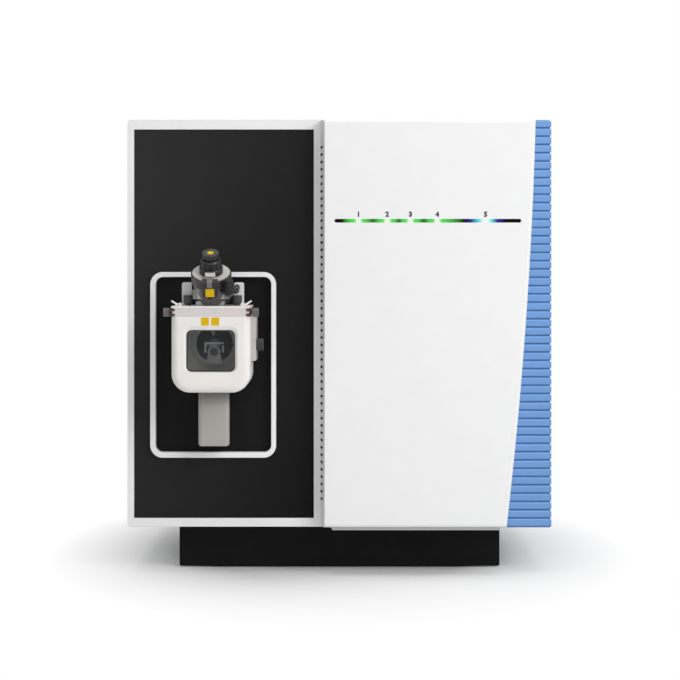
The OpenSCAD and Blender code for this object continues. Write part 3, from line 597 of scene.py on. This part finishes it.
# Rear and side details --------------------------------------------------------
def screws():
    """Screw heads round the rear panel, at its fans' corners and on the left cover."""
    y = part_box("rear_panel")[1].y
    rear = [(x, y, z) for x in (-0.335, -0.17, 0.0, 0.17, 0.325) for z in (0.095, 0.735)]
    rear += [(x, y, z) for x in (-0.335, 0.325) for z in (0.25, 0.41, 0.58)]
    fan_z = 0.56
    corners = (-0.0525, 0.0525)
    for fan_x in (-0.15, 0.15):
        rear += [(fan_x + across, y, fan_z + up) for across in corners for up in corners]
    discs("rear_screws", rear, SCREW_RADIUS, REAR_SCREW_HEIGHT, steel, "cabinet", (0, 1, 0), SCREW_SIDES,
          SCREW_SOCKET)
    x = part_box("left_cover")[0].x
    side = [(x, FRONT_Y + behind, z) for behind in (0.04, 0.32, 0.62) for z in (0.1, 0.725)]
    discs("side_screws", side, SCREW_RADIUS, SIDE_SCREW_HEIGHT, steel, "cabinet", (-1, 0, 0), SCREW_SIDES,
          SCREW_SOCKET)


def connectors():
    """Network, service and signal sockets in the rear panel, and the blades of the power inlet."""
    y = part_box("rear_panel")[1].y
    inner = y - 0.0005
    tall = 0.0048
    flat = 0.0028
    sockets = ((-0.05, -0.034, tall, 0.232, 0.246), (-0.026, -0.01, tall, 0.232, 0.246),
               (0.002, 0.05, flat, 0.232, 0.244), (-0.05, -0.036, flat, 0.212, 0.218),
               (-0.026, -0.012, flat, 0.212, 0.218))
    boxes("rear_sockets", [(x0, x1, inner, y + out, z0, z1) for x0, x1, out, z0, z1 in sockets],
          dark_plastic, "cabinet")
    x = (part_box("inlet")[0].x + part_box("inlet")[1].x) / 2
    blades = ((-0.008, -0.006, 0.1415, 0.1465), (0.006, 0.008, 0.1415, 0.1465), (-0.001, 0.001, 0.147, 0.152))
    foot = y - 0.0135
    boxes("inlet_blades", [(x + x0, x + x1, foot, inner, z0, z1) for x0, x1, z0, z1 in blades], steel,
          "cabinet")


slot_mesh()
lamp_numbers()
patches()
cone_faces()
screws()
connectors()


# Stage, light and camera ------------------------------------------------------
def shows(tree):
    """1 on camera, glossy and transmission rays, which see the white backdrop."""
    path = node(tree, "ShaderNodeLightPath")
    seen = path.outputs["Is Camera Ray"]
    for kind in ("Is Glossy Ray", "Is Transmission Ray"):
        seen = calculate(tree, "MAXIMUM", seen, path.outputs[kind])
    return seen


def floor_mat():
    """A pale floor that fades into the white backdrop over the outer half of an ellipse."""
    half_x = 0.52
    half_y = 0.85
    middle_y = 0.06
    mat = finish_mat("studio_floor", (0.93, 0.93, 0.93), 0.9, var=0.004, bump=0.0, spec=0.0)
    tree = mat.node_tree
    link = tree.links.new
    mapping = node(tree, "ShaderNodeMapping", Location=(0, -middle_y / half_y, 0),
                   Scale=(1 / half_x, 1 / half_y, 0))
    link(object_place(tree), mapping.inputs["Vector"])
    reach = node(tree, "ShaderNodeVectorMath", operation="LENGTH")
    link(mapping.outputs[0], reach.inputs[0])
    fade = calculate(tree, "MULTIPLY", map_range(tree, reach.outputs["Value"], 0.5, 1.0), shows(tree))
    white = node(tree, "ShaderNodeEmission")
    white.inputs["Color"].default_value = (1, 1, 1, 1)
    mix = node(tree, "ShaderNodeMixShader")
    link(fade, mix.inputs[0])
    link(tree.nodes["Principled BSDF"].outputs[0], mix.inputs[1])
    link(white.outputs[0], mix.inputs[2])
    link(mix.outputs[0], tree.nodes["Material Output"].inputs["Surface"])
    return mat


def lay_floor(half=30):
    corners = [(-half, -half, 0), (half, -half, 0), (half, half, 0), (-half, half, 0)]
    floor = add_mesh("floor", corners, [(0, 1, 2, 3)])
    floor.data.materials.append(floor_mat())


def light_world(strength=0.3):
    """A soft white world that lights the object at strength and shows as white."""
    world = bpy.data.worlds.new("studio")
    SCENE.world = world
    world.use_nodes = True
    tree = world.node_tree
    lit = tree.nodes["Background"]
    lit.inputs["Color"].default_value = (1, 1, 1, 1)
    lit.inputs["Strength"].default_value = strength
    white = node(tree, "ShaderNodeBackground")
    white.inputs["Color"].default_value = (1, 1, 1, 1)
    mix = node(tree, "ShaderNodeMixShader")
    tree.links.new(shows(tree), mix.inputs[0])
    tree.links.new(lit.outputs[0], mix.inputs[1])
    tree.links.new(white.outputs[0], mix.inputs[2])
    tree.links.new(mix.outputs[0], tree.nodes["World Output"].inputs["Surface"])


def area(name, at, aim, size, power):
    """A square soft lamp of a size in metres and a power in watts, turned towards aim."""
    lamp_data = bpy.data.lights.new(name, "AREA")
    lamp_data.shape = "SQUARE"
    lamp_data.size = size
    lamp_data.energy = power
    light = bpy.data.objects.new(name, lamp_data)
    SCENE.collection.objects.link(light)
    light.location = at
    light.rotation_euler = (Vector(aim) - Vector(at)).to_track_quat("-Z", "Y").to_euler()


def set_camera():
    """The photograph's camera: straight in front, its frame PHOTO_WIDTH wide at the front plane."""
    data = bpy.data.cameras.new("camera")
    data.sensor_width = SENSOR
    data.lens = SENSOR * CAMERA_DISTANCE / PHOTO_WIDTH
    data.shift_y = PHOTO_SHIFT / PHOTO_SIDE
    camera = bpy.data.objects.new("camera", data)
    SCENE.collection.objects.link(camera)
    camera.location = (CAMERA_X, FRONT_Y - CAMERA_DISTANCE, CAMERA_Z)
    camera.rotation_euler = (math.pi / 2, 0, 0)
    SCENE.camera = camera


lay_floor()
light_world()
area("key", (2.1, -2.9, 2.0), (0, FRONT_Y, 0.4), size=1.8, power=69)
area("top", (0.0, -0.3, 3.2), ORIGIN, size=2.6, power=40)
area("fill", (-0.2, FRONT_Y - 3.2, 0.35), (-0.1, FRONT_Y, 0.3), size=1.4, power=6)
set_camera()
SCENE.view_settings.view_transform = "Standard"
